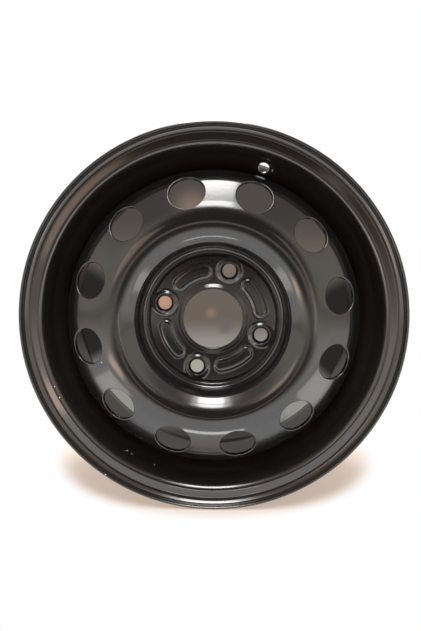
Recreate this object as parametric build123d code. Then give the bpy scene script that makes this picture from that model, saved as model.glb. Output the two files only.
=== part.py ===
"""Pressed steel car wheel, 14 x 5 1/2 J, four nuts on a 108 mm circle.

The wheel stands upright. Its origin is the centre of the rim, midway between the flanges,
the spin axis is Y, and the outboard face looks towards -Y. Sections are drawn with x as the
radius and y as the place along the axis. Angles count from +X towards +Z.
"""

from build123d import *
from math import asin, cos, degrees, radians, sin, tan
import os

# Rim contour, tyre side
bead_seat_diameter = 354.8
rim_width = 139.7
rim_sheet = 2.5
flange_height = 17.5
flange_radius = 9.5
flange_curl = 22.0
heel_radius = 3.0
seat_width = 17.85
seat_angle = 5.0
hump_rise = 1.15
hump_ramp = 4.5
hump_foot_radius = 8.0
hump_crest_radius = 6.0
lip_round = 1.1

# Drop-centre well, tyre side
well_depth = 17.4
well_width = 30.0
well_wall_angle = 37.5
well_wall_drop = 1.7
well_corner_radius = 6.0
ledge_rise_angle = 35.0
ledge_rise_width = 14.7
ledge_angle = 12.0
hump_foot_width = 4.0
hump_to_well_wall = 7.4

# Valve hole, in a flat pressed into the well's outboard wall
valve_hole_diameter = 11.5
valve_up_wall = 13.8
valve_flat_width = 18.0
valve_flat_height = 15.0
valve_flat_corner = 6.0
valve_flat_tilt = 12.0
valve_edge = 0.6

# Wheel disc
disc_sheet = 3.8
offset_to_hub_face = 42.5
bore_diameter = 63.4
bore_lead_in = 1.0
collar_height = 2.3
collar_wall = 2.4
collar_slope = 2.5
collar_round = 0.6
pad_radius = 66.8
pad_edge_round = 5.0
groove_depth = 1.6
groove_run = 2.5
groove_start_round = 3.0
groove_width = 4.7
groove_outer_round = 4.0
crest_height = 34.7
crest_flat = 0.55
hub_wall_angle = 75.0
dome_inner_round = 23.5
dome_outer_round = 38.5
cone_angle = 28.0
skirt_round = 33.0
skirt_seat = 10.7

# Vents
vent_count = 12
vent_circle_radius = 131.6
vent_diameter = 37.0

# Nut seats
nut_count = 4
nut_circle_diameter = 108.0
nut_hole_diameter = 14.3
seat_rise = 2.2
seat_foot_radius = 13.3
seat_top_radius = 11.0
seat_cone_radius = 9.2
seat_cone_half_angle = 30.0
hollow_radius = 10.6
hollow_depth = 1.4
hollow_draft = 40.0

# Curved fields between the nut seats
field_circle_radius = 51.2
field_width = 14.5
field_half_angle = 25.0
field_rise = 1.3
field_draft = 40.0

# Welds between the skirt and the well
weld_count = 8
weld_length = 52.0
weld_leg_well = 4.6
weld_leg_skirt = 3.3
weld_crown = 0.5

# Where the valve, one nut and one vent stand
valve_angle = 71.5

# Worked out from the rim's sizes
shortest_edge = rim_sheet / 100
half_width = rim_width / 2
seat_radius = bead_seat_diameter / 2
seat_end_y = half_width - seat_width
seat_end_radius = seat_radius - seat_width * tan(radians(seat_angle))
hump_y = seat_end_y - hump_ramp
hump_radius = seat_end_radius + hump_rise
well_tyre_radius = seat_radius - well_depth
well_bore_radius = well_tyre_radius - rim_sheet
wall_top_radius = hump_radius - well_wall_drop
wall_top_y = hump_y - hump_to_well_wall
well_outboard_y = wall_top_y - (wall_top_radius - well_tyre_radius) / tan(radians(well_wall_angle))
well_inboard_y = well_width - well_outboard_y

# Worked out from the disc's sizes
bore_radius = bore_diameter / 2
nut_hole_radius = nut_hole_diameter / 2
hub_face_y = -offset_to_hub_face
pad_y = hub_face_y - disc_sheet
groove_y = pad_y + groove_depth
groove_start_radius = pad_radius + groove_run
groove_outer_radius = groove_start_radius + groove_width
crest_y = pad_y - crest_height
dome_corner_radius = groove_outer_radius + (groove_y - crest_y) / tan(radians(hub_wall_angle))
dome_flat_radius = dome_corner_radius + dome_inner_round * tan(radians(hub_wall_angle / 2))
cone_top_radius = dome_flat_radius + crest_flat + dome_outer_round * tan(radians(cone_angle / 2))
cone_slope = tan(radians(cone_angle))
skirt_end_y = skirt_seat - well_outboard_y


def around(shape, angle):
    """Turn a shape made on the +X side to its angle about the spin axis."""
    return shape.rotate(Axis.Y, -angle)


def ring_of(shape, count):
    """Copies of a shape, evenly spaced about the axis from the valve's angle."""
    return [around(shape, valve_angle + 360 * step / count) for step in range(count)]


def outboard_plane(radius, y):
    """Plane across the axis at angle zero, with its z towards the outboard side."""
    return Plane(origin=(radius, y, 0), x_dir=(1, 0, 0), z_dir=(0, -1, 0))


def thickened(contour, sheet, side):
    """Closed section of sheet metal between a contour and its offset to one side."""
    outline = offset(contour, amount=sheet, side=side, closed=True, min_edge_length=shortest_edge)
    return make_face(outline.edges())


def filleted_line(corners):
    """Line through corners given as (radius, y, corner radius); the ends have none."""
    points = [(radius, y) for radius, y, _ in corners]
    return FilletPolyline(*points, radius=[corner for _, _, corner in corners[1:-1]])


def rim_corners():
    """Corners of the rim contour on the tyre side, from one flange to the other."""
    rise_end_y = well_inboard_y + ledge_rise_width
    rise_end_radius = well_tyre_radius + ledge_rise_width * tan(radians(ledge_rise_angle))
    ledge_end_y = hump_y - hump_foot_width
    ledge_end_radius = rise_end_radius + (ledge_end_y - rise_end_y) * tan(radians(ledge_angle))
    flange_top = seat_radius + flange_height - flange_radius
    return [
        (flange_top, -half_width, 0),
        (seat_radius, -half_width, heel_radius),
        (seat_end_radius, -seat_end_y, hump_foot_radius),
        (hump_radius, -hump_y, hump_crest_radius),
        (wall_top_radius, -wall_top_y, well_corner_radius),
        (well_tyre_radius, -well_outboard_y, well_corner_radius),
        (well_tyre_radius, well_inboard_y, well_corner_radius),
        (rise_end_radius, rise_end_y, well_corner_radius),
        (ledge_end_radius, ledge_end_y, hump_crest_radius),
        (hump_radius, hump_y, hump_crest_radius),
        (seat_end_radius, seat_end_y, hump_foot_radius),
        (seat_radius, half_width, heel_radius),
        (flange_top, half_width, 0),
    ]


def rim_section():
    """Section of the rolled band, from the outboard lip to the inboard one."""
    corners = rim_corners()
    middle = filleted_line(corners)
    curl = 90 + flange_curl
    outboard = JernArc(corners[0][:2], (1, 0), flange_radius, -curl)
    inboard = JernArc(corners[-1][:2], (1, 0), flange_radius, curl)
    contour = Wire(outboard.edges() + middle.edges() + inboard.edges())
    section = thickened(contour, rim_sheet, Side.RIGHT)
    lips = section.vertices().sort_by(Axis.Y)
    return fillet(lips[:2] + lips[-2:], lip_round)


def valve_plane():
    """Plane of the valve flat at angle zero, with its z out of the flat."""
    wall = radians(well_wall_angle)
    centre = (well_bore_radius + valve_up_wall * tan(wall), -well_outboard_y - valve_up_wall, 0)
    facing = wall + radians(valve_flat_tilt)
    return Plane(origin=centre, x_dir=(0, 0, 1), z_dir=(-cos(facing), -sin(facing), 0))


def make_rim_barrel():
    """Rolled rim with its pressed valve flat and the valve hole."""
    plane = valve_plane()
    hole_radius = valve_hole_diameter / 2
    reach = 2 * rim_sheet
    outline = plane * RectangleRounded(valve_flat_width, valve_flat_height, valve_flat_corner)
    flat = extrude(outline, amount=-rim_sheet)
    window = extrude(outline, amount=rim_sheet) + extrude(outline, amount=-reach)
    hole = plane * Cylinder(hole_radius, 2 * reach)
    edge = plane * Location((0, 0, -valve_edge / 2)) * Cone(hole_radius, hole_radius + valve_edge, valve_edge)
    barrel = revolve(rim_section(), Axis.Y)
    barrel = barrel - around(window, valve_angle) + around(flat, valve_angle)
    return barrel - around(hole, valve_angle) - around(edge, valve_angle)


def disc_corners():
    """Corners of the disc's outboard side, from the bore to the end of the skirt."""
    cone_foot_y = crest_y + (well_bore_radius - cone_top_radius) * cone_slope
    return [
        (bore_radius, pad_y, 0),
        (pad_radius, pad_y, pad_edge_round),
        (groove_start_radius, groove_y, groove_start_round),
        (groove_outer_radius, groove_y, groove_outer_round),
        (dome_corner_radius, crest_y, dome_inner_round),
        (cone_top_radius, crest_y, dome_outer_round),
        (well_bore_radius, cone_foot_y, skirt_round),
        (well_bore_radius, skirt_end_y, 0),
    ]


def collar_section():
    """Raised collar round the bore, rooted in the pad."""
    top_y = pad_y - collar_height
    root_y = pad_y + disc_sheet / 2
    wall_radius = bore_radius + collar_wall
    foot_radius = wall_radius + collar_slope
    outline = Polyline(
        (bore_radius, root_y), (bore_radius, top_y), (wall_radius, top_y), (foot_radius, pad_y),
        (foot_radius, root_y), close=True,
    )
    face = make_face(outline)
    return fillet(face.vertices().sort_by(Axis.Y)[:2], collar_round)


def disc_section():
    """Section of the pressing: one sheet, the bore's collar and the lead-in behind it."""
    sheet = thickened(filleted_line(disc_corners()).wire(), disc_sheet, Side.LEFT)
    section = sheet + collar_section()
    corner = section.vertices().sort_by_distance((bore_radius, hub_face_y))[0]
    return chamfer(corner, bore_lead_in)


def vent_cutter():
    """Round punch square to the vented cone."""
    y = crest_y + (vent_circle_radius - cone_top_radius) * cone_slope
    tilt = radians(cone_angle)
    plane = Plane(origin=(vent_circle_radius, y, 0), z_dir=(sin(tilt), -cos(tilt), 0))
    return plane * Cylinder(vent_diameter / 2, vent_diameter)


def nut_seat():
    """Raised boss of one nut seat, rooted in the sheet."""
    slope = (seat_foot_radius - seat_top_radius) / seat_rise
    root = disc_sheet / 2
    plane = outboard_plane(nut_circle_diameter / 2, pad_y)
    height = seat_rise + root
    middle = Location((0, 0, (seat_rise - root) / 2))
    return plane * middle * Cone(seat_foot_radius + root * slope, seat_top_radius, height)


def nut_cutter():
    """Hole, conical seat and the hollow behind one nut seat."""
    radius = nut_circle_diameter / 2
    seat = (seat_cone_radius - nut_hole_radius) / tan(radians(seat_cone_half_angle))
    front = outboard_plane(radius, pad_y - seat_rise)
    back = outboard_plane(radius, hub_face_y)
    hollow_top = hollow_radius - hollow_depth * tan(radians(hollow_draft))
    hole = back * Cylinder(nut_hole_radius, 4 * disc_sheet)
    cone = front * Location((0, 0, -seat / 2)) * Cone(nut_hole_radius, seat_cone_radius, seat)
    hollow = back * Location((0, 0, hollow_depth / 2)) * Cone(hollow_radius, hollow_top, hollow_depth)
    return hole + cone + hollow


def field_outline(width, y):
    """Curved outline with round ends, halfway between two nut seats."""
    end_angle = degrees(asin(field_width / 2 / field_circle_radius))
    half = field_half_angle - end_angle
    middle = 180 / nut_count
    line = CenterArc((0, 0), field_circle_radius, middle - half, 2 * half)
    return outboard_plane(0, y) * SlotArc(line, width)


def raised_field():
    """Curved field with drafted sides, raised from the pad."""
    return extrude(field_outline(field_width, pad_y), amount=field_rise, taper=field_draft)


def field_hollow():
    """Hollow behind a curved field, which leaves the sheet its thickness."""
    draft = radians(field_draft)
    inset = disc_sheet * (1 - sin(draft)) / cos(draft)
    outline = field_outline(field_width - 2 * inset, hub_face_y)
    return extrude(outline, amount=field_rise, taper=field_draft)


def make_wheel_disc():
    """Pressed disc with its nut seats, curved fields and vents."""
    disc = revolve(disc_section(), Axis.Y)
    disc = disc + ring_of(nut_seat(), nut_count) + ring_of(raised_field(), nut_count)
    cutters = ring_of(field_hollow(), nut_count) + ring_of(nut_cutter(), nut_count)
    cutters += ring_of(vent_cutter(), vent_count)
    return disc - cutters


def make_weld_bead():
    """Fillet weld between the end of the skirt and the well, centred on angle zero."""
    heel = (well_bore_radius, skirt_end_y)
    toe = (well_bore_radius, skirt_end_y + weld_leg_well)
    top = (well_bore_radius - weld_leg_skirt, skirt_end_y)
    crown = weld_crown / 2**0.5
    middle = ((toe[0] + top[0]) / 2 - crown, (toe[1] + top[1]) / 2 + crown)
    section = make_face(Line(heel, toe) + ThreePointArc(toe, middle, top) + Line(top, heel))
    span = degrees(weld_length / well_bore_radius)
    return around(revolve(section, Axis.Y, span), -span / 2)


def main():
    """Write each piece to its own file."""
    os.makedirs("parts", exist_ok=True)
    export_step(make_rim_barrel(), "parts/rim_barrel.step")
    export_step(make_wheel_disc(), "parts/wheel_disc.step")
    bead = around(make_weld_bead(), 180 / weld_count)
    for number, placed in enumerate(ring_of(bead, weld_count), start=1):
        export_step(placed, f"parts/weld_bead_{number}.step")


main()
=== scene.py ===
"""Render scene for a pressed steel car wheel in black paint.

The wheel stands upright. Its spin axis is Y and its outboard face looks towards -Y. Sizes of the wheel
are in millimetres. Meshes and the studio are in metres, in the frame of the CAD model. A section is drawn
with the distance from the spin axis first and the place along the axis second. Angles count from +X
towards +Z, and a sector's own angle zero is turned to the valve when the ring is made. A plan is the flat
map that a surface is meshed on: the place along the axis and the length round it for the window in the
barrel, and X and Z for the disc.
"""

import logging
import math
from collections.abc import Callable, Sequence
from dataclasses import dataclass, field, replace
from enum import Enum

import bmesh
import bpy
import numpy as np
from mathutils import Euler, Matrix, Vector
from mathutils.geometry import delaunay_2d_cdt


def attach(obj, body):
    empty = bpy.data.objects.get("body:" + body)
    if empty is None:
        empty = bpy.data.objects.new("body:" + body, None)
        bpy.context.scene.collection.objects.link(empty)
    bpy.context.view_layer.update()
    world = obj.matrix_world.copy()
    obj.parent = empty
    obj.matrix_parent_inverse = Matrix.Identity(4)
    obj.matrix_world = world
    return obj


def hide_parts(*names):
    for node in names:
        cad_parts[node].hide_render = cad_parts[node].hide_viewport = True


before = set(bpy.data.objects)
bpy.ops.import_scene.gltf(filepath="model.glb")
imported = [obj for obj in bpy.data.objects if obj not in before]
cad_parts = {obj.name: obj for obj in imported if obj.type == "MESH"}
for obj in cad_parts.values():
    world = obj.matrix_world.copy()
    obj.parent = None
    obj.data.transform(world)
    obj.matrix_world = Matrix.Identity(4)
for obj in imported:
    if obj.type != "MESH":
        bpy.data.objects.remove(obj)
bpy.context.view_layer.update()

log = logging.getLogger("wheel_scene")

MM = 0.001
BODY = "root"
PREFIX = "painted_"
FACING = "facing"
VALVE_ANGLE = math.radians(71.5)
WELDS = 8
MERGE_MM = 0.01
FINE_TURN = 0.25
EDGE_TURN = 15.0

Triple = tuple[float, float, float]
Color = tuple[float, float, float, float]
Surface = Callable[[np.ndarray], np.ndarray]

WHITE: Color = (1.0, 1.0, 1.0, 1.0)


class Side(Enum):
    """Which way a sheet's contour faces as it is followed."""

    LEFT = 1
    RIGHT = -1


@dataclass(frozen=True)
class Bend:
    """Corner of a contour: its sharp point and the radius that rounds it."""

    radius: float
    axial: float
    round: float = 0.0


@dataclass
class Section:
    """Samples along a contour: where each one is and which way it faces."""

    places: np.ndarray
    facing: np.ndarray

    def offset(self, depth: float) -> "Section":
        """The other side of a sheet of this depth, sampled in the same order."""
        return Section(self.places - self.facing * depth, -self.facing)

    def back(self) -> "Section":
        """The same samples in the opposite order."""
        return Section(self.places[::-1], self.facing[::-1])

    def part(self, first: int, last: int) -> "Section":
        """Samples from first to last, both included."""
        return Section(self.places[first:last + 1], self.facing[first:last + 1])

    def joined(self, *others: "Section") -> "Section":
        """This section followed by others."""
        parts = [self, *others]
        return Section(np.concatenate([p.places for p in parts]), np.concatenate([p.facing for p in parts]))

    def split(self, column: int, value: float, after: int = 0) -> tuple["Section", int]:
        """Add a sample where the section reaches a radius or a place on the axis.

        Args:
            column: 0 for the radius, 1 for the place on the axis.
            value: What is looked for, on a straight stretch.
            after: First sample to look from.

        Returns:
            The section with the sample, and the sample's number.
        """
        line = self.places[:, column]
        for i in range(after, len(line) - 1):
            if (line[i] - value) * (line[i + 1] - value) <= 0 and line[i] != line[i + 1]:
                break
        share = (value - line[i]) / (line[i + 1] - line[i])
        place = self.places[i] + share * (self.places[i + 1] - self.places[i])
        facing = self.facing[i] + share * (self.facing[i + 1] - self.facing[i])
        facing /= np.linalg.norm(facing)
        return Section(np.insert(self.places, i + 1, place, axis=0),
                       np.insert(self.facing, i + 1, facing, axis=0)), i + 1


def left_of(way: np.ndarray) -> np.ndarray:
    """Direction a quarter turn to the left of a way."""
    return np.array([-way[1], way[0]])


def rounded(bends: Sequence[Bend], side: Side, turn: float) -> Section:
    """Sample a line whose corners are rounded, with the exact direction it faces.

    Args:
        bends: Corners from one end to the other; the ends have no rounding.
        side: Which way the contour faces as it is followed.
        turn: Largest turn between two samples, in degrees.

    Returns:
        The sampled section.
    """
    corners = np.array([(bend.radius, bend.axial) for bend in bends])
    ways = np.diff(corners, axis=0)
    ways /= np.linalg.norm(ways, axis=1)[:, None]
    places = [corners[0]]
    facing = [left_of(ways[0])]
    for number in range(1, len(bends) - 1):
        before, after = ways[number - 1], ways[number]
        angle = math.atan2(before[0] * after[1] - before[1] * after[0], before @ after)
        bend = bends[number].round
        sign = math.copysign(1.0, angle)
        first = left_of(before)
        start = corners[number] - before * bend * math.tan(abs(angle) / 2)
        centre = start + sign * bend * first
        for step in np.linspace(0, angle, max(2, math.ceil(abs(math.degrees(angle)) / turn) + 1)):
            normal = math.cos(step) * first + math.sin(step) * left_of(first)
            places.append(centre - sign * bend * normal)
            facing.append(normal)
    places.append(corners[-1])
    facing.append(left_of(ways[-1]))
    return Section(np.array(places), side.value * np.array(facing))


def rounded_edge(section: Section, sheet: float, steps: int = 8) -> Section:
    """Half-round edge that closes a sheet at the last sample of its section.

    Args:
        section: One side of the sheet.
        sheet: Thickness of the sheet.
        steps: Steps from one side of the sheet to the other.

    Returns:
        The edge's samples, without the ones on the sheet's two sides.
    """
    normal = section.facing[-1]
    centre = section.places[-1] - normal * sheet / 2
    along = section.places[-1] - section.places[-2]
    along = along - (along @ normal) * normal
    along /= np.linalg.norm(along)
    angles = np.linspace(0, math.pi, steps + 1)[1:-1, None]
    facing = np.cos(angles) * normal + np.sin(angles) * along
    return Section(centre + facing * sheet / 2, facing)


def full_turn(steps: int) -> np.ndarray:
    """Angles of even steps round a full turn."""
    return np.arange(steps) * 2 * math.pi / steps


def arc_between(first: float, last: float, step: float) -> np.ndarray:
    """Angles from first to last, evenly spaced, all in degrees, given back in radians."""
    return np.radians(np.linspace(first, last, round((last - first) / step) + 1))


def turned(radius: np.ndarray, axial: np.ndarray, angle: np.ndarray) -> np.ndarray:
    """Points at a distance from the spin axis, a place along it and an angle round it."""
    radius, axial, angle = np.broadcast_arrays(radius, axial, angle)
    return np.stack([radius * np.cos(angle), axial, radius * np.sin(angle)], axis=-1)


def on_plan(radius: np.ndarray | float, angle: np.ndarray | float) -> np.ndarray:
    """Points of a plan at a distance from its middle and an angle round it."""
    return np.stack([radius * np.cos(angle), radius * np.sin(angle)], axis=-1)


def grid_of(rows: np.ndarray, columns: np.ndarray) -> np.ndarray:
    """Every pair of a row's and a column's value."""
    return np.stack(np.meshgrid(rows, columns), axis=-1).reshape(-1, 2)


def frame_border(rows: np.ndarray, angles: np.ndarray, point: Callable) -> np.ndarray:
    """Closed loop round a patch that spans some rows and some angles.

    Args:
        rows: The rows' values, from one end to the other.
        angles: The angles, from one side to the other.
        point: Gives the plan's point for a row and an angle.

    Returns:
        The loop's points in the plan.
    """
    loop = [point(rows[0], angle) for angle in angles]
    loop += [point(row, angles[-1]) for row in rows[1:]]
    loop += [point(rows[-1], angle) for angle in angles[::-1][1:]]
    loop += [point(row, angles[0]) for row in rows[::-1][1:-1]]
    return np.array(loop)


def polar_patch(radii: np.ndarray, angles: np.ndarray) -> tuple[np.ndarray, np.ndarray]:
    """Lay out a patch of the disc between two radii and two angles.

    Args:
        radii: Radii of its rows.
        angles: Angles of its columns.

    Returns:
        The closed loop round it and the grid of points inside it, both in the plan.
    """
    border = frame_border(radii, angles, lambda row, angle: (row * math.cos(angle), row * math.sin(angle)))
    inner = grid_of(radii[1:-1], angles[1:-1])
    return border, on_plan(inner[:, 0], inner[:, 1])


def soft_max(first: np.ndarray, second: np.ndarray | float, width: float) -> np.ndarray:
    """The larger of two heights, with a rounded valley where they cross."""
    near = np.maximum(width - np.abs(first - second), 0) / width
    return np.maximum(first, second) + near**2 * width / 4


def soft_min(first: np.ndarray, second: np.ndarray | float, width: float) -> np.ndarray:
    """The smaller of two heights, with a rounded edge where they cross."""
    return -soft_max(-first, -np.asarray(second), width)


def smooth(share: np.ndarray) -> np.ndarray:
    """Ease a share between 0 and 1."""
    share = np.clip(share, 0, 1)
    return share * share * (3 - 2 * share)


def inside_loop(points: np.ndarray, loop: np.ndarray) -> np.ndarray:
    """Tell which points of a plan lie inside a closed loop.

    Args:
        points: Points of the plan.
        loop: The loop's corners, in order.

    Returns:
        True for each point inside.
    """
    x, y = points[:, :1], points[:, 1:]
    ax, ay = loop[:, 0], loop[:, 1]
    bx, by = np.roll(ax, -1), np.roll(ay, -1)
    spans = (ay > y) != (by > y)
    rise = np.where(by == ay, 1.0, by - ay)
    return (spans & (x < (bx - ax) * (y - ay) / rise + ax)).sum(axis=1) % 2 == 1


def surface_facing(surface: Surface, plan: np.ndarray, sign: float, step: float = 0.01) -> np.ndarray:
    """Work out unit normals of a surface at points of its plan.

    Args:
        surface: Gives the place of each point of the plan.
        plan: Points of the plan.
        sign: Turns the plan's normals to face outwards.
        step: Distance in the plan over which the slope is taken.

    Returns:
        One normal for each point.
    """
    across = surface(plan + (step, 0)) - surface(plan - (step, 0))
    along = surface(plan + (0, step)) - surface(plan - (0, step))
    normal = np.cross(across, along)
    return sign * normal / np.linalg.norm(normal, axis=1)[:, None]


def axis_ways(points: np.ndarray) -> tuple[np.ndarray, np.ndarray]:
    """Find the directions away from the spin axis and round it.

    Args:
        points: Where they are wanted.

    Returns:
        Unit directions away from the axis, and round it.
    """
    radius = np.hypot(points[:, 0], points[:, 2]) + 1e-12
    cosine, sine = points[:, 0] / radius, points[:, 2] / radius
    zero = np.zeros_like(radius)
    return np.stack([cosine, zero, sine], axis=1), np.stack([-sine, zero, cosine], axis=1)


def to_axis(points: np.ndarray, facing: np.ndarray) -> np.ndarray:
    """Split each normal into its parts away from the axis, along it and round it."""
    out, around = axis_ways(points)
    return np.stack([(facing * out).sum(1), facing[:, 1], (facing * around).sum(1)], axis=1)


def keep_facing(mesh: bpy.types.Mesh, parts: np.ndarray) -> None:
    """Keep each point's normal, split into its parts, in the mesh's facing attribute."""
    kept = mesh.attributes.new(FACING, "FLOAT_VECTOR", "POINT")
    kept.data.foreach_set("vector", parts.astype(np.float32).ravel())


def vectors_of(data: bpy.types.bpy_prop_collection, name: str) -> np.ndarray:
    """Read one vector of each element of a mesh.

    Args:
        data: The mesh's elements, such as its vertices.
        name: Name of the vector.

    Returns:
        The vectors, one in each row.
    """
    flat = np.zeros(len(data) * 3, np.float32)
    data.foreach_get(name, flat)
    return flat.reshape(-1, 3).astype(float)


def shade(mesh: bpy.types.Mesh) -> None:
    """Set a finished mesh's normals from its facing attribute, then drop the attribute.

    Args:
        mesh: Mesh whose facing attribute holds the parts of its normals.
    """
    out, around = axis_ways(vectors_of(mesh.vertices, "co"))
    parts = vectors_of(mesh.attributes[FACING].data, "vector")
    normals = parts[:, :1] * out + parts[:, 2:] * around
    normals[:, 1] += parts[:, 1]
    normals /= np.linalg.norm(normals, axis=1)[:, None] + 1e-12
    mesh.attributes.remove(mesh.attributes[FACING])
    mesh.shade_smooth()
    mesh.normals_split_custom_set_from_vertices([tuple(normal) for normal in normals])


def in_scene(name: str, data: bpy.types.ID) -> bpy.types.Object:
    """Add an object to the scene, at the origin.

    Args:
        name: Name of the object.
        data: Its mesh, lamp or camera.

    Returns:
        The object.
    """
    thing = bpy.data.objects.new(name, data)
    bpy.context.scene.collection.objects.link(thing)
    return thing


class Shell:
    """Points, the way each one faces and the faces between them, gathered for one mesh."""

    def __init__(self) -> None:
        """Start with nothing in the shell."""
        self.points: list[np.ndarray] = []
        self.facing: list[np.ndarray] = []
        self.faces: list[tuple[int, ...]] = []
        self.count = 0

    def add(self, points: np.ndarray, facing: np.ndarray) -> np.ndarray:
        """Add points to the shell.

        Args:
            points: Places, in rows of any shape.
            facing: Normals in the same shape.

        Returns:
            The points' numbers, in the shape they came in.
        """
        shape = points.shape[:-1]
        self.points.append(points.reshape(-1, 3))
        self.facing.append(facing.reshape(-1, 3))
        numbers = np.arange(self.count, self.count + len(self.points[-1])).reshape(shape)
        self.count += numbers.size
        return numbers

    def strip(self, points: np.ndarray, facing: np.ndarray, closed: bool) -> None:
        """Skin a grid of points, row by row.

        Args:
            points: Grid of rows, each a line of points.
            facing: Normals in the same grid.
            closed: Whether each row is a loop.
        """
        grid = self.add(points, facing)
        if closed:
            grid = np.concatenate([grid, grid[:, :1]], axis=1)
        for low, high in zip(grid[:-1], grid[1:]):
            self.faces.extend(zip(low[:-1], low[1:], high[1:], high[:-1]))

    def turn(self, section: Section, angles: np.ndarray) -> None:
        """Skin a section turned through a run of angles.

        Args:
            section: The section.
            angles: Angles round the spin axis.
        """
        points, facing = (turned(row[:, 0, None], row[:, 1, None], angles[None])
                          for row in (section.places, section.facing))
        self.strip(points, facing, closed=False)

    def patch(self, surface: Surface, sign: float, border: np.ndarray, holes: Sequence[np.ndarray],
              rings: Sequence[np.ndarray], loose: np.ndarray) -> None:
        """Skin a region of a surface, with holes and with rings where its form changes.

        Args:
            surface: Gives the place of each point of the plan.
            sign: Turns the plan's normals to face outwards.
            border: Closed loop round the region, in the plan.
            holes: Closed loops left open.
            rings: Closed loops that the faces follow.
            loose: Further points of the plan.
        """
        loops = [border, *holes, *rings]
        edges: list[tuple[int, int]] = []
        start = 0
        for loop in loops:
            edges += [(start + i, start + (i + 1) % len(loop)) for i in range(len(loop))]
            start += len(loop)
        plan = np.concatenate([*loops, loose])
        corners, _, triangles, *_ = delaunay_2d_cdt([Vector(p) for p in plan], edges, [], 1, 1e-6)
        plan = np.array([tuple(corner) for corner in corners])
        triangles = np.array(triangles)
        middles = plan[triangles].mean(axis=1)
        open_ = np.zeros(len(middles), bool)
        for hole in holes:
            open_ |= inside_loop(middles, hole)
        numbers = self.add(surface(plan), surface_facing(surface, plan, sign))
        self.faces.extend(map(tuple, numbers[triangles[~open_]]))

    def mesh(self, name: str) -> bpy.types.Mesh:
        """Make the mesh, with its faces outwards and each point's facing kept for the ring.

        Args:
            name: Name of the mesh.

        Returns:
            A mesh in metres. Its facing attribute holds the parts away from the axis, along it
            and round it, which stay the same when a sector is turned.
        """
        points = np.concatenate(self.points)
        facing = np.concatenate(self.facing)
        faces = []
        for face in self.faces:
            a, b, c = points[list(face[:3])]
            normal = np.cross(b - a, c - a)
            faces.append(face if normal @ facing[list(face)].sum(axis=0) > 0 else face[::-1])
        mesh = bpy.data.meshes.new(name)
        mesh.from_pydata(points * MM, [], [[int(i) for i in face] for face in faces])
        keep_facing(mesh, to_axis(points, facing))
        return mesh


class Value:
    """A number that nodes give, which can be used in sums like any other number."""

    def __init__(self, nodes: "Nodes", socket: bpy.types.NodeSocket) -> None:
        """Keep the socket and the tree that it belongs to."""
        self.nodes = nodes
        self.socket = socket

    def _math(self, operation: str, first: "Number", second: "Number") -> "Value":
        """Add one Math node."""
        return self.nodes.add("ShaderNodeMath", {"operation": operation}, {0: first, 1: second}).value()

    def __add__(self, other: "Number") -> "Value":
        """This plus other."""
        return self._math("ADD", self, other)

    __radd__ = __add__

    def __sub__(self, other: "Number") -> "Value":
        """This minus other."""
        return self._math("SUBTRACT", self, other)

    def __rsub__(self, other: "Number") -> "Value":
        """Other minus this."""
        return self._math("SUBTRACT", other, self)

    def __mul__(self, other: "Number") -> "Value":
        """This times other."""
        return self._math("MULTIPLY", self, other)

    __rmul__ = __mul__

    def __truediv__(self, other: "Number") -> "Value":
        """This over other."""
        return self._math("DIVIDE", self, other)

    def __rtruediv__(self, other: "Number") -> "Value":
        """Other over this."""
        return self._math("DIVIDE", other, self)

    def most(self, other: "Number") -> "Value":
        """The larger of this and other."""
        return self._math("MAXIMUM", self, other)

    def ramp(self, start: float, end: float) -> "Value":
        """Step smoothly from 0 to 1.

        Args:
            start: Where the step is still 0.
            end: Where it has come to 1, above or below the start.

        Returns:
            The step's height at this value.
        """
        settings = {"interpolation_type": "SMOOTHSTEP"}
        inputs = {"Value": self, "From Min": start, "From Max": end}
        return self.nodes.add("ShaderNodeMapRange", settings, inputs).value("Result")


Number = Value | float


class Node:
    """One node with short ways to its outputs."""

    def __init__(self, nodes: "Nodes", node: bpy.types.Node) -> None:
        """Keep the node and the tree that it belongs to."""
        self.nodes = nodes
        self.node = node

    def out(self, name: str | int = 0) -> bpy.types.NodeSocket:
        """An output socket by its name or number."""
        return self.node.outputs[name]

    def value(self, name: str | int = 0) -> Value:
        """An output to count with."""
        return Value(self.nodes, self.out(name))


class Nodes:
    """A node tree that nodes are added to by type, settings and inputs."""

    def __init__(self, tree: bpy.types.NodeTree) -> None:
        """Keep the tree."""
        self.tree = tree

    def add(self, kind: str, settings: dict | None = None, inputs: dict | None = None) -> Node:
        """Add a node.

        Args:
            kind: The node's type.
            settings: Its properties, set before the inputs.
            inputs: Values or links of its sockets, by name or number.

        Returns:
            The node.
        """
        node = self.tree.nodes.new(kind)
        for name, setting in (settings or {}).items():
            setattr(node, name, setting)
        for name, given in (inputs or {}).items():
            self.feed(node.inputs[name], given)
        return Node(self, node)

    def feed(self, socket: bpy.types.NodeSocket, given: object) -> None:
        """Link a socket, or set its value.

        Args:
            socket: The socket.
            given: A node, a socket or a value to link, or what the socket holds by itself.
        """
        if isinstance(given, Value):
            given = given.socket
        if isinstance(given, Node):
            given = given.out()
        if isinstance(given, bpy.types.NodeSocket):
            self.tree.links.new(given, socket)
        else:
            socket.default_value = given

    def vector(self, operation: str, *given: object) -> Node:
        """Add one Vector Math node."""
        return self.add("ShaderNodeVectorMath", {"operation": operation}, dict(enumerate(given)))

    def blend(self, share: Number, first: object, second: object) -> bpy.types.NodeSocket:
        """Mix two colours by a share from 0 to 1."""
        settings = {"data_type": "RGBA", "clamp_factor": True}
        return self.add("ShaderNodeMix", settings, {0: share, 6: first, 7: second}).out(2)


def fresh_nodes(owner: bpy.types.Material | bpy.types.World) -> Nodes:
    """Give a new material or world an empty tree.

    Args:
        owner: The material or world.

    Returns:
        Its tree.
    """
    owner.use_nodes = True
    owner.node_tree.nodes.clear()
    return Nodes(owner.node_tree)


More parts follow.
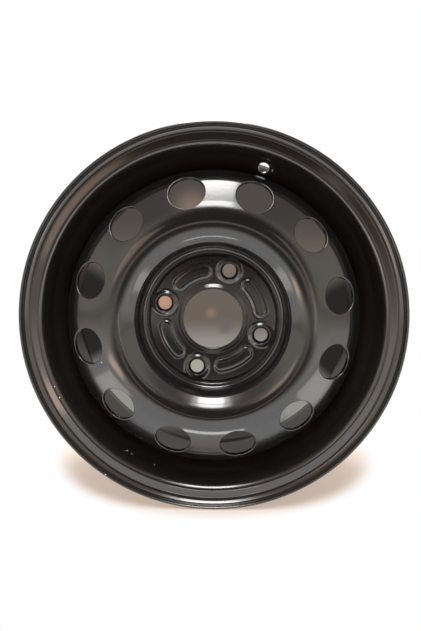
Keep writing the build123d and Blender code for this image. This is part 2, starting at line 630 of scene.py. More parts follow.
class Shape(Nodes):
    """A Geometry Nodes tree that makes a piece from a base mesh."""

    def __init__(self, name: str, numbers: dict[str, str]) -> None:
        """Start the tree.

        Args:
            name: Name of the tree.
            numbers: Socket type of each named input beside the geometry and the material.
        """
        super().__init__(bpy.data.node_groups.new(name, "GeometryNodeTree"))
        face = self.tree.interface
        sockets = {"Geometry": "NodeSocketGeometry", **numbers, "Material": "NodeSocketMaterial"}
        for label, kind in sockets.items():
            face.new_socket(label, in_out="INPUT", socket_type=kind)
        face.new_socket("Geometry", in_out="OUTPUT", socket_type="NodeSocketGeometry")
        self.given = self.add("NodeGroupInput")

    def end(self, geometry: Node) -> "Shape":
        """Realize what the tree made and give it its material.

        Args:
            geometry: Node whose first output is what the tree made.

        Returns:
            The finished tree.
        """
        solid = self.add("GeometryNodeRealizeInstances", inputs={"Geometry": geometry})
        dressed = self.add("GeometryNodeSetMaterial", inputs={"Geometry": solid,
                                                              "Material": self.given.out("Material")})
        self.add("NodeGroupOutput", inputs={"Geometry": dressed})
        return self

    def make(self, name: str, base: bpy.types.Mesh, material: bpy.types.Material,
             numbers: dict[str, object]) -> bpy.types.Object:
        """Run the tree on a base mesh and keep the result as a plain mesh.

        Args:
            name: Name of the piece.
            base: Mesh that the tree starts from.
            material: Material of the piece.
            numbers: Value of each named input.

        Returns:
            The piece, linked to the scene, with no modifier left on it.
        """
        source = in_scene(name + "_base", base)
        modifier = source.modifiers.new("shape", "NODES")
        modifier.node_group = self.tree
        values = {**numbers, "Material": material}
        for item in self.tree.interface.items_tree:
            if item.in_out == "INPUT" and item.name in values:
                modifier[item.identifier] = values[item.name]
        graph = bpy.context.evaluated_depsgraph_get()
        mesh = bpy.data.meshes.new_from_object(source.evaluated_get(graph))
        mesh.name = name
        source.modifiers.remove(modifier)
        bpy.data.objects.remove(source)
        return in_scene(PREFIX + name, mesh)


def sweep_tree() -> Shape:
    """Build the tree that turns a closed section about the spin axis.

    Returns:
        The tree. Its inputs are the path's radius, its steps and the angle that it starts at.
    """
    shape = Shape("turned_section", {"Path Radius": "NodeSocketFloat", "Steps": "NodeSocketInt",
                                     "Phase": "NodeSocketFloat"})
    given = shape.given
    line = shape.add("GeometryNodeMeshToCurve", inputs={"Mesh": given.out("Geometry")})
    path = shape.add("GeometryNodeCurvePrimitiveCircle",
                     inputs={"Resolution": given.out("Steps"), "Radius": given.out("Path Radius")})
    level = shape.add("GeometryNodeSetCurveNormal", {"mode": "Z_UP"}, {"Curve": path})
    skin = shape.add("GeometryNodeCurveToMesh", inputs={"Curve": level, "Profile Curve": line})
    upright = shape.add("ShaderNodeCombineXYZ", inputs={"X": math.pi / 2, "Y": given.value("Phase") * -1.0})
    return shape.end(shape.add("GeometryNodeTransform", inputs={"Geometry": skin, "Rotation": upright}))


def ring_tree() -> Shape:
    """Build the tree that repeats a sector round the spin axis and closes the joints.

    Returns:
        The tree. Its inputs are the count, the first sector's angle and the distance of merging.
    """
    shape = Shape("ring_of_sectors", {"Count": "NodeSocketInt", "Phase": "NodeSocketFloat",
                                      "Merge Distance": "NodeSocketFloat"})
    given = shape.given
    points = shape.add("GeometryNodePoints", inputs={"Count": given.out("Count")})
    index = shape.add("GeometryNodeInputIndex").value()
    angle = (index / given.value("Count") * (2 * math.pi) + given.value("Phase")) * -1.0
    spin = shape.add("ShaderNodeCombineXYZ", inputs={"Y": angle})
    copies = shape.add("GeometryNodeInstanceOnPoints", inputs={
        "Points": points, "Instance": given.out("Geometry"), "Rotation": spin})
    solid = shape.add("GeometryNodeRealizeInstances", inputs={"Geometry": copies})
    return shape.end(shape.add("GeometryNodeMergeByDistance", inputs={
        "Geometry": solid, "Distance": given.out("Merge Distance")}))


@dataclass(frozen=True)
class Place:
    """A spot with its own directions, about which a small section is turned."""

    origin: np.ndarray
    across: np.ndarray
    up: np.ndarray
    out: np.ndarray

    def ways(self, steps: int) -> np.ndarray:
        """Directions away from the spot's axis, in even steps round it."""
        angles = full_turn(steps)[:, None]
        return np.cos(angles) * self.across + np.sin(angles) * self.up

    def ring(self, section: Section, steps: int) -> tuple[np.ndarray, np.ndarray]:
        """Turn a section of distance from the axis and height along it.

        Args:
            section: Samples of the section.
            steps: Points round the axis.

        Returns:
            Points and normals, one row for each sample.
        """
        ways = self.ways(steps)
        points, facing = (row[:, :1, None] * ways + row[:, 1:, None] * self.out
                          for row in (section.places, section.facing))
        return points + self.origin, facing


@dataclass
class Piece:
    """One piece of the wheel, with the CAD nodes that it stands for."""

    name: str
    finish: "Finish"

    def dress(self, piece: bpy.types.Object) -> None:
        """Fasten the piece to its body, hide the CAD part of the same name and set the piece's normals.

        Args:
            piece: The finished piece.
        """
        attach(piece, BODY)
        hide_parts(self.name)
        shade(piece.data)
        log.info("%s: %d vertices, %d faces", piece.name, len(piece.data.vertices), len(piece.data.polygons))


@dataclass
class ValveFlat:
    """Flat pressed into the well's outboard wall, with the valve hole."""

    radius: float = 168.089
    axial: float = -33.976
    facing: float = 49.5
    width: float = 13.6
    height: float = 14.4
    corner: float = 6.6
    blend: float = 4.0
    hole: float = 5.75
    edge: float = 0.6
    edge_start: float = 1.0
    tyre_edge: float = 0.3
    tyre_edge_end: float = 0.6
    hole_steps: int = 48
    outline_steps: int = 60
    rings: int = 6
    ring_gap: float = 0.6
    reach: float = 6.0
    reference: float = 168.0

    def axes(self) -> tuple[float, float]:
        """Cosine and sine of the way that the flat faces."""
        return math.cos(math.radians(self.facing)), math.sin(math.radians(self.facing))

    def depth_shift(self, depth: float) -> tuple[float, float]:
        """Centre of the flat at a depth below its bore side."""
        cosine, sine = self.axes()
        return self.radius + depth * cosine, self.axial + depth * sine

    def across(self, plan: np.ndarray, depth: float) -> tuple[np.ndarray, np.ndarray, np.ndarray]:
        """Places of plan points in the flat, and how far from the axis the flat lies there.

        Args:
            plan: Place along the axis and length round it.
            depth: Depth of the wanted side below the bore side.

        Returns:
            Distances round the axis and up the flat from its centre, and radii.
        """
        cosine, sine = self.axes()
        radius, axial = self.depth_shift(depth)
        angle = plan[:, 1] / self.reference
        level = radius - (plan[:, 0] - axial) * sine / cosine
        return level * np.tan(angle), (plan[:, 0] - axial) / cosine, level / np.cos(angle)

    def outside(self, round_: np.ndarray, up: np.ndarray) -> np.ndarray:
        """Measure how far outside the flat's outline some places are.

        Args:
            round_: Distances from the flat's centre round the axis.
            up: Distances from its centre up the flat.

        Returns:
            Distances outside the outline, negative inside it.
        """
        x = np.abs(round_) - self.width / 2 + self.corner
        y = np.abs(up) - self.height / 2 + self.corner
        return np.hypot(np.maximum(x, 0), np.maximum(y, 0)) + np.minimum(np.maximum(x, y), 0) - self.corner

    def outline(self, away: float, depth: float) -> np.ndarray:
        """Lay a loop round the flat.

        Args:
            away: The loop's distance outside the flat's outline.
            depth: Depth of the wanted side below the bore side.

        Returns:
            The loop's points in the plan.
        """
        cosine, sine = self.axes()
        radius, axial = self.depth_shift(depth)
        corner = self.corner + away
        angles = full_turn(self.outline_steps) + math.pi / self.outline_steps
        x = np.sign(np.cos(angles)) * (self.width / 2 - self.corner) + corner * np.cos(angles)
        y = np.sign(np.sin(angles)) * (self.height / 2 - self.corner) + corner * np.sin(angles)
        return np.stack([axial + y * cosine, self.reference * np.arctan2(x, radius - y * sine)], axis=1)

    def hole_rows(self, sheet: float) -> tuple[np.ndarray, np.ndarray]:
        """Shape the wall of the valve hole, from the bore side to the tyre side.

        Args:
            sheet: Thickness of the sheet.

        Returns:
            Points and normals, one row for each sample.
        """
        cosine, sine = self.axes()
        place = Place(np.array([self.radius, self.axial, 0.0]), np.array([0.0, 0.0, 1.0]),
                      np.array([-sine, cosine, 0.0]), np.array([-cosine, -sine, 0.0]))
        corners = [Bend(self.hole + self.edge_start, 0), Bend(self.hole, 0, self.edge),
                   Bend(self.hole, -sheet, self.tyre_edge), Bend(self.hole + self.tyre_edge_end, -sheet)]
        return place.ring(rounded(corners, Side.RIGHT, EDGE_TURN), self.hole_steps)

    def plan(self, points: np.ndarray) -> np.ndarray:
        """Plan points of points in space."""
        return np.stack([points[:, 1], self.reference * np.arctan2(points[:, 2], points[:, 0])], axis=1)


@dataclass
class RimBarrel(Piece):
    """Rolled rim: flanges, bead seats, safety humps and the drop-centre well."""

    sheet: float = 2.5
    seat: float = 177.4
    half_width: float = 69.85
    flange_top: float = 185.39
    flange_radius: float = 9.5
    curl: float = 103.5
    heel: float = 3.0
    seat_end: tuple[float, float] = (175.838, 52.0)
    hump: tuple[float, float] = (176.988, 47.5)
    hump_foot: float = 8.0
    hump_crest: float = 6.0
    wall_top: tuple[float, float] = (175.288, -40.1)
    well: float = 160.0
    well_ends: tuple[float, float] = (-20.176, 9.824)
    rise_end: tuple[float, float] = (170.293, 24.524)
    ledge_end: tuple[float, float] = (174.326, 43.5)
    corner: float = 6.0
    steps: int = 240
    turn: float = 6.0
    window: tuple[float, float] = (-44.4, -23.2)
    window_from: int = 20
    window_margin: float = 8.0
    window_gaps: tuple[float, float] = (1.2, 0.8)
    window_step: float = 1.3
    valve: ValveFlat = field(default_factory=ValveFlat)

    def tyre_side(self, turn: float) -> Section:
        """Draw the contour on the tyre side, from the outboard lip to the inboard one.

        Args:
            turn: Largest turn between two samples, in degrees.

        Returns:
            The contour.
        """
        foot, crest, corner = self.hump_foot, self.hump_crest, self.corner
        bends = [
            Bend(self.flange_top, -self.half_width),
            Bend(self.seat, -self.half_width, self.heel),
            Bend(self.seat_end[0], -self.seat_end[1], foot),
            Bend(self.hump[0], -self.hump[1], crest),
            Bend(*self.wall_top, corner),
            Bend(self.well, self.well_ends[0], corner),
            Bend(self.well, self.well_ends[1], corner),
            Bend(*self.rise_end, corner),
            Bend(*self.ledge_end, crest),
            Bend(*self.hump, crest),
            Bend(*self.seat_end, foot),
            Bend(self.seat, self.half_width, self.heel),
            Bend(self.flange_top, self.half_width),
        ]
        middle = rounded(bends, Side.RIGHT, turn)
        count = math.ceil(self.curl / turn)
        angles = np.radians(np.linspace(self.curl, 0, count + 1))[:-1, None]
        facing = np.hstack([np.sin(angles), np.cos(angles)])
        centre = np.array([self.flange_top, -self.half_width - self.flange_radius])
        outboard = Section(centre + self.flange_radius * facing, facing)
        mirror = np.array([1, -1])
        inboard = Section(outboard.places * mirror, outboard.facing * mirror).back()
        return outboard.joined(middle, inboard)

    def rows(self) -> tuple[Section, int, int]:
        """Draw the tyre side with samples at both ends of the window.

        Returns:
            The contour and the numbers of the two samples.
        """
        tyre, first = self.tyre_side(self.turn).split(1, self.window[0], self.window_from)
        tyre, last = tyre.split(1, self.window[1], first)
        return tyre, first, last

    def section_mesh(self) -> bpy.types.Mesh:
        """Close the section of the sheet, from lip to lip and back.

        Returns:
            A mesh of its edges, with the distance from the well's radius for X.
        """
        tyre, _, _ = self.rows()
        bore = tyre.offset(self.sheet)
        loop = tyre.joined(rounded_edge(tyre, self.sheet), bore.back(),
                           rounded_edge(tyre.back(), self.sheet).back())
        count = len(loop.places)
        mesh = bpy.data.meshes.new("rim_section")
        flat = np.column_stack([loop.places[:, 0] - self.well, loop.places[:, 1], np.zeros(count)]) * MM
        mesh.from_pydata(flat, [(i, (i + 1) % count) for i in range(count)], [])
        keep_facing(mesh, np.column_stack([loop.facing, np.zeros(count)]))
        return mesh

    def side_surface(self, contour: Section, depth: float) -> Surface:
        """Shape one side of the window, where the wall goes over into the valve flat.

        Args:
            contour: That side of the wall.
            depth: Its depth below the bore side.

        Returns:
            The surface over its plan.
        """
        axial, radius = contour.places[:, 1], contour.places[:, 0]
        order = np.argsort(axial)

        def surface(plan: np.ndarray) -> np.ndarray:
            """Place the plan's points on the wall or the flat.

            Args:
                plan: Points of the plan.

            Returns:
                Their places.
            """
            round_, up, level = self.valve.across(plan, depth)
            share = 1 - smooth(self.valve.outside(round_, up) / self.valve.blend)
            wall = np.interp(plan[:, 0], axial[order], radius[order])
            return turned(wall + share * (level - wall), plan[:, 0], plan[:, 1] / self.valve.reference)

        return surface

    def window_mesh(self) -> bpy.types.Mesh:
        """Mesh both sides of the window and the valve hole between them.

        Returns:
            The mesh, turned to the valve.
        """
        valve = self.valve
        shell = Shell()
        tyre, first, last = self.rows()
        fine = self.tyre_side(FINE_TURN)
        hole, hole_facing = valve.hole_rows(self.sheet)
        shell.strip(hole, hole_facing, closed=True)
        angles = arc_between(-valve.reach, valve.reach, 360 / self.steps)
        sides = [(tyre.offset(self.sheet), fine.offset(self.sheet), 0.0, hole[0], -1.0),
                 (tyre, fine, self.sheet, hole[-1], 1.0)]
        for rows, contour, depth, loop, sign in sides:
            axial = rows.places[first:last + 1, 1]
            low, high = axial[0] - self.window_margin, axial[-1] + self.window_margin
            keep = (contour.places[:, 1] > low) & (contour.places[:, 1] < high)
            surface = self.side_surface(Section(contour.places[keep], contour.facing[keep]), depth)
            border = frame_border(axial, angles, lambda y, angle: (y, angle * valve.reference))
            rings = [valve.outline(away, depth) for away in np.linspace(0, valve.blend, valve.rings)]
            steps = np.arange(axial[0] + self.window_gaps[0], axial[-1] - self.window_gaps[1],
                              self.window_step)
            grid = grid_of(steps, angles[1:-1] * valve.reference)
            round_, up, _ = valve.across(grid, depth)
            loose = grid[valve.outside(round_, up) > valve.blend + valve.ring_gap]
            shell.patch(surface, sign, border, [valve.plan(loop)], rings, loose)
        mesh = shell.mesh("valve_window")
        mesh.transform(Matrix.Rotation(-VALVE_ANGLE, 4, "Y"))
        return mesh

    def open_window(self, mesh: bpy.types.Mesh) -> None:
        """Put the window's patches in the place of the plain wall.

        Args:
            mesh: The barrel's mesh.
        """
        tyre, first, last = self.rows()
        ends = {side: rows.places[[first, last], 1] * MM
                for side, rows in ((True, tyre), (False, tyre.offset(self.sheet)))}
        skin = bmesh.new()
        skin.from_mesh(mesh)
        facing = skin.verts.layers.float_vector[FACING]
        gone = []
        for face in skin.faces:
            middle = face.calc_center_median()
            low, high = ends[sum(vert[facing].x for vert in face.verts) > 0]
            angle = math.degrees(math.atan2(middle.z, middle.x) - VALVE_ANGLE)
            if abs(angle) < self.valve.reach and low < middle.y < high:
                gone.append(face)
        bmesh.ops.delete(skin, geom=gone, context="FACES")
        skin.from_mesh(self.window_mesh())
        bmesh.ops.remove_doubles(skin, verts=skin.verts, dist=MERGE_MM * MM)
        bmesh.ops.recalc_face_normals(skin, faces=skin.faces)
        skin.to_mesh(mesh)
        skin.free()

    def build(self) -> bpy.types.Object:
        """Make the barrel.

        Returns:
            The dressed piece.
        """
        piece = sweep_tree().make(self.name, self.section_mesh(), self.finish.material(), {
            "Path Radius": self.well * MM, "Steps": self.steps, "Phase": VALVE_ANGLE})
        self.open_window(piece.data)
        self.dress(piece)
        return piece


@dataclass
class Vent:
    """Round hole punched square to the cone."""

    radius: float = 131.6
    axial: float = -70.529
    tilt: float = 28.0
    hole: float = 18.5
    front_edge: float = 1.0
    front_edge_rows: int = 6
    back_edge: float = 0.3
    back_edge_rows: int = 4
    steps: int = 72
    reach: float = 12.0
    halvings: int = 40
    rings: tuple[float, ...] = (0.9, 2.4)
    clear: float = 3.6

    def place(self) -> Place:
        """Set up the punch's axis.

        Returns:
            Its centre, its directions across and round, and the way it faces.
        """
        tilt = math.radians(self.tilt)
        cosine, sine = math.cos(tilt), math.sin(tilt)
        return Place(np.array([self.radius, self.axial, 0.0]), np.array([cosine, sine, 0.0]),
                     np.array([0.0, 0.0, 1.0]), np.array([sine, -cosine, 0.0]))

    def meet(self, surface: Surface, away: float) -> np.ndarray:
        """Find where a cylinder about the punch's axis meets a surface of the disc.

        Args:
            surface: Gives the place of each point of the plan.
            away: Radius of the cylinder.

        Returns:
            The loop's points in space.
        """
        place = self.place()
        start = place.origin + away * place.ways(self.steps)
        low, high = np.full(self.steps, -self.reach), np.full(self.steps, self.reach)
        for _ in range(self.halvings):
            middle = (low + high) / 2
            points = start + middle[:, None] * place.out
            below = points[:, 1] > surface(points[:, [0, 2]])[:, 1]
            low, high = np.where(below, middle, low), np.where(below, high, middle)
        return start + low[:, None] * place.out

    def from_axis(self, points: np.ndarray) -> np.ndarray:
        """Distance of points from the punch's axis."""
        place = self.place()
        return np.hypot((points - place.origin) @ place.across, (points - place.origin) @ place.up)

    def rows(self, front: Surface, back: Surface) -> tuple[np.ndarray, np.ndarray]:
        """Shape the wall of the hole, from the front to the back.

        Args:
            front: The disc's outboard surface.
            back: Its inboard surface.

        Returns:
            Points and normals, one row for each step down the hole.
        """
        place = self.place()
        ways = place.ways(self.steps)
        points, facing = [], []
        sides = [(front, self.front_edge, -1.0, 1.0, np.linspace(0, math.pi / 2, self.front_edge_rows)),
                 (back, self.back_edge, 1.0, -1.0, np.linspace(math.pi / 2, 0, self.back_edge_rows))]
        for surface, edge, inwards, sign, turns in sides:
            for turn in turns:
                loop = self.meet(surface, self.hole + edge * (1 - math.sin(turn)))
                normal = surface_facing(surface, loop[:, [0, 2]], sign)
                points.append(loop + inwards * edge * (1 - math.cos(turn)) * place.out)
                way = normal * math.cos(turn) - ways * math.sin(turn)
                facing.append(way / np.linalg.norm(way, axis=1)[:, None])
        return np.array(points), np.array(facing)


@dataclass
class NutSeat:
    """Raised conical seat of one nut, with the hollow behind it."""

    circle: float = 54.0
    rise: float = 2.1
    foot: float = 13.8
    top: float = 10.2
    round: float = 0.5
    cone: float = 9.2
    hole: float = 7.15
    cone_depth: float = 3.45
    hollow: float = 10.6
    hollow_floor: float = 9.425
    hollow_depth: float = 1.4
    seat_rounds: tuple[float, float] = (0.5, 0.4)
    hollow_rounds: Triple = (0.2, 0.3, 0.3)
    beyond: float = 0.7
    steps: int = 64
    rings: tuple[float, ...] = (10.3, 10.7, 11.2, 11.8, 12.4, 13.0, 13.5, 13.9, 14.3)
    back_ring: float = 2.0
    clear: float = 15.0
    clear_at_bend: float = 11.6

    def from_axis(self, plan: np.ndarray) -> np.ndarray:
        """Distance of plan points from the nut's axis."""
        return np.hypot(plan[:, 0] - self.circle, plan[:, 1])

    def height(self, plan: np.ndarray) -> np.ndarray:
        """How high the boss stands over the pad's plane; far below it beside the boss."""
        flank = (self.foot - self.from_axis(plan)) * self.rise / (self.foot - self.top)
        return soft_min(flank, self.rise, self.round)

    def ring(self, away: float) -> np.ndarray:
        """Loop in the plan about the nut's axis."""
        return on_plan(away, full_turn(self.steps)) + (self.circle, 0.0)

    def rows(self, front: float, back: float) -> tuple[np.ndarray, np.ndarray]:
        """Shape the wall of the hole, from the boss to the hub face.

        Args:
            front: Place of the pad's plane on the spin axis.
            back: Place of the hub face.

        Returns:
            One row of points and one of normals for each sample.
        """
        place = Place(np.array([self.circle, front, 0.0]), np.array([1.0, 0.0, 0.0]),
                      np.array([0.0, 0.0, 1.0]), np.array([0.0, -1.0, 0.0]))
        seat_end = self.rise - self.cone_depth
        behind = front - back
        corners = [
            Bend(self.cone + self.beyond, self.rise),
            Bend(self.cone, self.rise, self.seat_rounds[0]),
            Bend(self.hole, seat_end, self.seat_rounds[1]),
            Bend(self.hole, behind + self.hollow_depth, self.hollow_rounds[0]),
            Bend(self.hollow_floor, behind + self.hollow_depth, self.hollow_rounds[1]),
            Bend(self.hollow, behind, self.hollow_rounds[2]),
            Bend(self.hollow + self.beyond, behind),
        ]
        return place.ring(rounded(corners, Side.RIGHT, EDGE_TURN), self.steps)


@dataclass
class CurvedField:
    """Curved field with drafted sides, raised halfway between two nut seats and hollow behind."""

    circle: float = 51.2
    half_width: float = 7.6
    middle: float = 45.0
    half_angle: float = 16.86
    rise: float = 1.3
    draft: float = 60.0
    round: float = 0.5
    inset: float = 1.0
    step: float = 1.5
    rings: tuple[float, ...] = (0.6, 0.2, -0.3, -0.9, -1.5, -2.0, -2.5)
    clear: tuple[float, float] = (-3.1, 1.2)

    def outside(self, plan: np.ndarray) -> np.ndarray:
        """Measure how far outside the field's outline some plan points are.

        Args:
            plan: Points of the plan.

        Returns:
            Distances outside the outline, negative inside it.
        """
        angle = np.arctan2(plan[:, 1], plan[:, 0]) - math.radians(self.middle)
        near = np.clip(angle, -math.radians(self.half_angle), math.radians(self.half_angle))
        spine = on_plan(self.circle, near + math.radians(self.middle))
        return np.linalg.norm(plan - spine, axis=1) - self.half_width

    def height(self, plan: np.ndarray, inset: float = 0.0) -> np.ndarray:
        """Height of the field at plan points, with its outline drawn in by an inset."""
        flank = -(self.outside(plan) + inset) / math.tan(math.radians(self.draft))
        return soft_min(soft_max(flank, 0.0, self.round), self.rise, self.round)

    def ring(self, away: float) -> np.ndarray:
        """Lay a loop round the field.

        Args:
            away: The loop's distance outside the outline.

        Returns:
            The loop's points in the plan.
        """
        reach = self.half_width + away
        first, last = self.middle - self.half_angle, self.middle + self.half_angle
        run = arc_between(first, last, self.step)
        caps = []
        for end, start in ((last, last), (first, first + 180)):
            cap = arc_between(start, start + 180, EDGE_TURN)[1:-1]
            caps.append(on_plan(self.circle, math.radians(end)) + on_plan(reach, cap))
        return np.concatenate([on_plan(self.circle + reach, run), caps[0],
                               on_plan(self.circle - reach, run[::-1]), caps[1]])

    def beside(self, plan: np.ndarray, inset: float) -> np.ndarray:
        """Which plan points keep clear of the field's flanks, drawn in by an inset."""
        away = self.outside(plan) + inset
        return (away > self.clear[1]) | (away < self.clear[0])


@dataclass
class Contour:
    """One side of the disc, with the numbers of the samples where it is split."""

    line: Section
    groove: int
    inner: int
    outer: int

    @classmethod
    def split(cls, line: Section, groove: float, band: tuple[float, float]) -> "Contour":
        """Split a side at the groove and at both ends of the band that holds the vents.

        Args:
            line: The side.
            groove: Radius of the split in the groove.
            band: Radii of the band's ends.

        Returns:
            The side with its splits.
        """
        line, first = line.split(0, groove)
        line, inner = line.split(0, band[0], first)
        line, outer = line.split(0, band[1], inner)
        return cls(line, first, inner, outer)


@dataclass
class WheelDisc(Piece):
    """Pressed disc: hub pad, dome, vented cone and the skirt that seats in the well."""

    sheet: float = 3.8
    bore: float = 31.7
    pad: float = -46.3
    hub_face: float = -42.5
    hub_start: float = 34.0
    collar_foot: float = 38.6
    collar_start: float = 37.4
    collar_foot_round: float = 0.8
    collar_top: float = 33.9
    collar_top_round: float = 0.7
    collar_rise: float = 1.95
    bore_edge_size: float = 1.0
    bore_edge_round: float = 0.3
    bore_turn: float = 10.0
    pad_edge: tuple[float, float] = (66.4, 66.8)
    pad_edge_round: tuple[float, float] = (1.2, 5.0)
    channel: tuple[Bend, ...] = (Bend(68.6, -45.49, 0.8), Bend(69.3, -44.4, 0.3),
                                 Bend(69.9, -44.4, 0.3), Bend(71.0, -45.5, 0.8))
    hub_wall: tuple[Bend, ...] = (Bend(75.0, -45.5, 3.2), Bend(79.2, -68.9, 6.0),
                                  Bend(91.7, -81.0, 24.75))
    wall_behind: tuple[Bend, ...] = (Bend(69.3, -44.7, 3.0), Bend(74.0, -44.7, 4.0),
                                     Bend(83.727, -81.0, 23.5))
    crest: Bend = Bend(111.908, -81.0, 38.5)
    skirt: float = 157.5
    skirt_start: float = -56.758
    skirt_round: float = 33.0
    skirt_end: float = -9.476
    skirt_edge_height: float = 1.0
    skirt_edge_round: float = 0.5
    boss_foot_round: float = 0.8
    vents: int = 12
    nuts: int = 4
    turn: float = 5.0
    step: float = 1.25
    first_nut_joint: float = -17.5
    groove_split: float = 69.6
    back_split: float = 70.6
    band: tuple[float, float] = (112.5, 150.2)
    band_rows: int = 19
    cone_end: float = 156.0
    pad_rows: int = 11
    pad_rows_end: float = 63.6
    bend_rows_start: float = 64.4
    bend_start: float = 64.9
    vent: Vent = field(default_factory=Vent)
    nut: NutSeat = field(default_factory=NutSeat)
    raised: CurvedField = field(default_factory=CurvedField)

    def outer_bends(self) -> list[Bend]:
        """Bends that both sides share, from the dome's crest to just before the skirt's end."""
        return [self.crest, Bend(self.skirt, self.skirt_start, self.skirt_round),
                Bend(self.skirt, self.skirt_end - self.skirt_edge_height)]

    def front(self, turn: float) -> Section:
        """Draw the outboard contour, from the pad to just before the skirt's end.

        Args:
            turn: Largest turn between two samples, in degrees.

        Returns:
            The contour.
        """
        bends = [Bend(self.collar_foot, self.pad), Bend(self.pad_edge[0], self.pad, self.pad_edge_round[0]),
                 *self.channel, *self.hub_wall, *self.outer_bends()]
        return rounded(bends, Side.RIGHT, turn)

    def behind(self, turn: float) -> Section:
        """Draw the inboard contour, a sheet's thickness behind a smoother outboard one.

        Args:
            turn: Largest turn between two samples, in degrees.

        Returns:
            The contour.
        """
        bends = [Bend(self.hub_start, self.pad), Bend(self.pad_edge[1], self.pad, self.pad_edge_round[1]),
                 *self.wall_behind, *self.outer_bends()]
        return rounded(bends, Side.RIGHT, turn).offset(self.sheet)

    def skirt_edge(self) -> Section:
        """Draw the end of the skirt, from the front contour to the back one.

        Returns:
            The end's contour.
        """
        inner, start = self.skirt - self.sheet, self.skirt_end - self.skirt_edge_height
        bends = [Bend(self.skirt, start), Bend(self.skirt, self.skirt_end, self.skirt_edge_round),
                 Bend(inner, self.skirt_end, self.skirt_edge_round), Bend(inner, start)]
        return rounded(bends, Side.RIGHT, EDGE_TURN)

    def bore_edge(self) -> Section:
        """Draw the collar and the wall of the bore, from the pad to the hub face.

        Returns:
            Their contour.
        """
        top = self.pad - self.collar_rise
        bends = [Bend(self.collar_foot, self.pad), Bend(self.collar_start, self.pad, self.collar_foot_round),
                 Bend(self.collar_top, top, self.collar_top_round),
                 Bend(self.bore, top, self.collar_top_round),
                 Bend(self.bore, self.hub_face - self.bore_edge_size, self.bore_edge_round),
                 Bend(self.bore + self.bore_edge_size, self.hub_face, self.bore_edge_round),
                 Bend(self.hub_start, self.hub_face)]
        return rounded(bends, Side.LEFT, self.bore_turn)

    def rising(self, section: Section) -> Section:
        """Part of a contour whose radius keeps growing."""
        keep = np.concatenate([[True], np.diff(np.maximum.accumulate(section.places[:, 0])) > 1e-6])
        return Section(section.places[keep], section.facing[keep])

    def plain(self, fine: Section) -> Surface:
        """Turn a contour about the spin axis.

        Args:
            fine: The contour, finely sampled.

        Returns:
            The surface over its plan.
        """
        radius, axial = fine.places[:, 0], fine.places[:, 1]

        def surface(plan: np.ndarray) -> np.ndarray:
            """Place of each point of the plan."""
            level = np.interp(np.hypot(plan[:, 0], plan[:, 1]), radius, axial)
            return np.stack([plan[:, 0], level, plan[:, 1]], axis=1)

        return surface

    def hub_front(self) -> Surface:
        """Shape the outboard side of the hub, with its nut seat and curved field.

        Returns:
            The surface over its plan.
        """
        plain = self.plain(self.front(FINE_TURN))

        def surface(plan: np.ndarray) -> np.ndarray:
            """Raise the seat and the field over the pad.

            Args:
                plan: Points of the plan.

            Returns:
                Their places.
            """
            points = plain(plan)
            level = soft_max(self.pad - points[:, 1], self.nut.height(plan), self.boss_foot_round)
            points[:, 1] = self.pad - level - self.raised.height(plan)
            return points

        return surface

    def hub_back(self) -> Surface:
        """Shape the inboard side of the hub, with the hollow behind its curved field.

        Returns:
            The surface over its plan.
        """
        plain = self.plain(self.rising(self.behind(FINE_TURN)))

        def surface(plan: np.ndarray) -> np.ndarray:
            """Sink the hollow into the hub face.

            Args:
                plan: Points of the plan.

            Returns:
                Their places.
            """
            points = plain(plan)
            points[:, 1] -= self.raised.height(plan, self.raised.inset)
            return points

        return surface

    def vent_sector(self, front: Contour, back: Contour) -> bpy.types.Mesh:
        """A twelfth of the disc outside the hub, with one vent.

        Args:
            front: Outboard contour.
            back: Inboard contour.

        Returns:
            The sector's mesh.
        """
        shell = Shell()
        vent = self.vent
        angles = arc_between(-180 / self.vents, 180 / self.vents, self.step)
        for contour in (front, back):
            shell.turn(contour.line.part(contour.groove, contour.inner), angles)
            shell.turn(contour.line.part(contour.outer, len(contour.line.places) - 1), angles)
        shell.turn(self.skirt_edge(), angles)
        fine = self.front(FINE_TURN)
        cone = fine.places[:, 0] < self.cone_end
        outboard = self.plain(Section(fine.places[cone], fine.facing[cone]))
        inboard = self.plain(self.rising(self.behind(FINE_TURN)))
        rows, facing = vent.rows(outboard, inboard)
        shell.strip(rows, facing, closed=True)
        sides = [(outboard, front, rows[0], vent.front_edge, 1.0),
                 (inboard, back, rows[-1], vent.back_edge, -1.0)]
        for surface, contour, loop, edge, sign in sides:
            ends = contour.line.places[[contour.inner, contour.outer], 0]
            border, grid = polar_patch(np.linspace(*ends, self.band_rows), angles)
            rings = [vent.meet(surface, vent.hole + edge + away)[:, [0, 2]] for away in vent.rings]
            loose = grid[vent.from_axis(surface(grid)) > vent.hole + edge + vent.clear]
            shell.patch(surface, sign, border, [loop[:, [0, 2]]], rings, loose)
        return shell.mesh("vent_sector")

